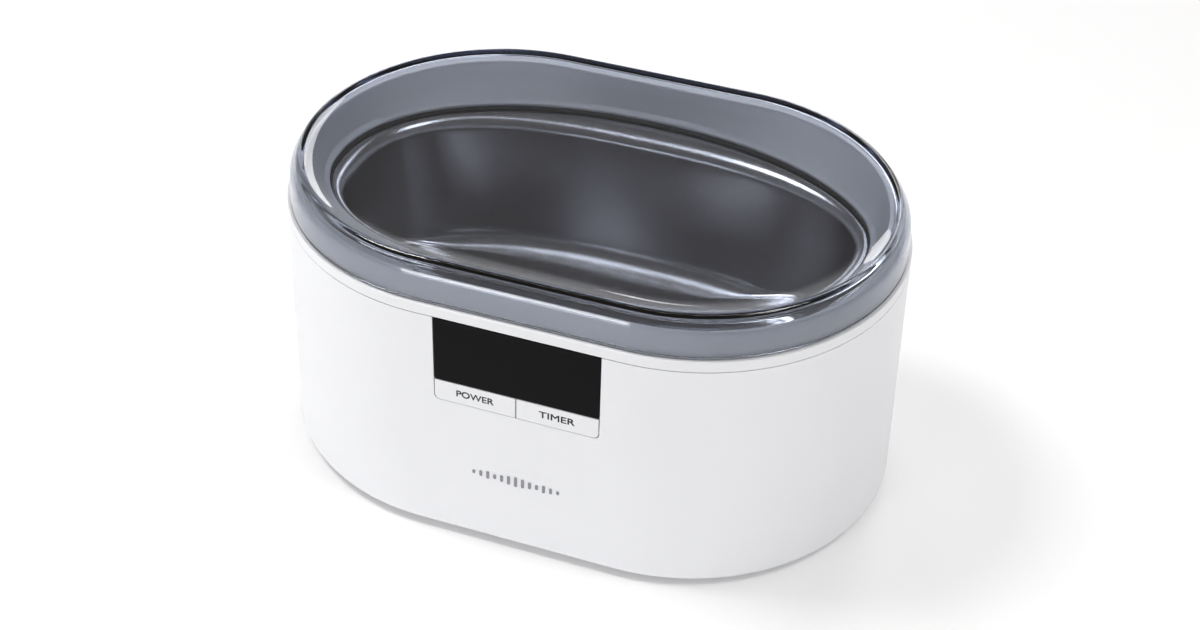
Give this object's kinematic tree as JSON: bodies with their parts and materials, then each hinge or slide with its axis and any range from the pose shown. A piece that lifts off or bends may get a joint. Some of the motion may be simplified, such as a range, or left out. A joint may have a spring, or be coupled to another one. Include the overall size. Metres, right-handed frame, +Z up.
{
  "type": "ultrasonic cleaner",
  "caption": "Compact tabletop ultrasonic cleaner for jewellery: stadium-shaped housing, oval steel tank, lift-off tinted lid, display window and push keys.",
  "frame": {"origin": "middle of the footprint, on the surface that the feet stand on", "axes": "+X along the length, to the user's right; -Y towards the user, the side with the display; +Z up"},
  "size_m": [0.2068, 0.1408, 0.1028],
  "materials": {
    "white_abs": "satin moulded white ABS",
    "base_abs": "matt moulded white ABS",
    "smoky_clear": "clear tinted styrene, polished mould",
    "polished_stainless": "deep drawn and polished",
    "silicone": "matt",
    "black_acrylic": "high gloss, smoked",
    "black_plastic": "fine moulded texture",
    "green_laminate": "solder mask",
    "aluminium": "extruded",
    "zinc_plate": "bright zinc plate",
    "piezo_ceramic": "fired, silver electrode",
    "ferrite": "pressed and fired",
    "copper_wire": "enamelled wire",
    "capacitor_sleeve": "shrunk sleeve",
    "yellow_film": "dipped",
    "fuse_glass": "clear",
    "nylon": "natural",
    "brass_pin": "bright",
    "rubber_foot": "matt",
    "red_pvc": "extruded",
    "black_pvc": "extruded",
    "brown_pvc": "extruded",
    "blue_pvc": "extruded",
    "grey_pvc": "extruded"
  },
  "bodies": {
    "base": {"top_cover": "white_abs", "housing": "white_abs", "base_plate": "base_abs", "tank": "polished_stainless", "tank_gasket": "silicone", "display_window": "black_acrylic", "display_board": "green_laminate", "led_display": "black_plastic", "power_switch_body": "black_plastic", "timer_switch_body": "black_plastic", "display_screw_left": "zinc_plate", "display_screw_right": "zinc_plate", "coupling_plate": "aluminium", "piezo_disc": "piezo_ceramic", "main_board": "green_laminate", "heat_sink": "aluminium", "power_transistor_left": "black_plastic", "power_transistor_right": "black_plastic", "transformer_core": "ferrite", "transformer_winding": "copper_wire", "choke": "copper_wire", "bulk_capacitor": "capacitor_sleeve", "film_capacitor": "yellow_film", "fuse": "fuse_glass", "mains_connector": "nylon", "transducer_connector": "nylon", "display_connector": "nylon", "mains_inlet": "black_plastic", "inlet_pin_left": "brass_pin", "inlet_pin_right": "brass_pin", "mains_lead_live": "brown_pvc", "mains_lead_neutral": "blue_pvc", "transducer_lead_live": "red_pvc", "transducer_lead_return": "black_pvc", "display_ribbon": "grey_pvc", "foot_front_left": "rubber_foot", "base_screw_front_left": "zinc_plate", "board_screw_front_left": "zinc_plate", "tank_clamp_front_left": "zinc_plate", "clamp_screw_front_left": "zinc_plate", "foot_front_right": "rubber_foot", "base_screw_front_right": "zinc_plate", "board_screw_front_right": "zinc_plate", "tank_clamp_front_right": "zinc_plate", "clamp_screw_front_right": "zinc_plate", "foot_back_right": "rubber_foot", "base_screw_back_right": "zinc_plate", "board_screw_back_right": "zinc_plate", "tank_clamp_back_right": "zinc_plate", "clamp_screw_back_right": "zinc_plate", "foot_back_left": "rubber_foot", "base_screw_back_left": "zinc_plate", "board_screw_back_left": "zinc_plate", "tank_clamp_back_left": "zinc_plate", "clamp_screw_back_left": "zinc_plate"},
    "lid": {"lid": "smoky_clear"},
    "power_key": {"power_key": "white_abs"},
    "timer_key": {"timer_key": "white_abs"},
    "power_switch_stem": {"power_switch_stem": "nylon"},
    "timer_switch_stem": {"timer_switch_stem": "nylon"}
  },
  "joints": [
    {"name": "lid_lift", "type": "slide", "parent": "base", "child": "lid", "axis": [0, 0, 1], "range_m": [0, 0.08]},
    {"name": "power_key_press", "type": "slide", "parent": "base", "child": "power_key", "axis": [0, 1, 0], "range_m": [0, 0.0006], "stiffness_N_per_m": 400},
    {"name": "power_switch_press", "type": "slide", "parent": "base", "child": "power_switch_stem", "axis": [0, 1, 0], "range_m": [0, 0.0003]},
    {"name": "timer_key_press", "type": "slide", "parent": "base", "child": "timer_key", "axis": [0, 1, 0], "range_m": [0, 0.0006], "stiffness_N_per_m": 400},
    {"name": "timer_switch_press", "type": "slide", "parent": "base", "child": "timer_switch_stem", "axis": [0, 1, 0], "range_m": [0, 0.0003]}
  ],
  "couplings": [
    {"joint": "power_switch_press", "follows": "power_key_press", "ratio": 0.5},
    {"joint": "timer_switch_press", "follows": "timer_key_press", "ratio": 0.5}
  ]
}
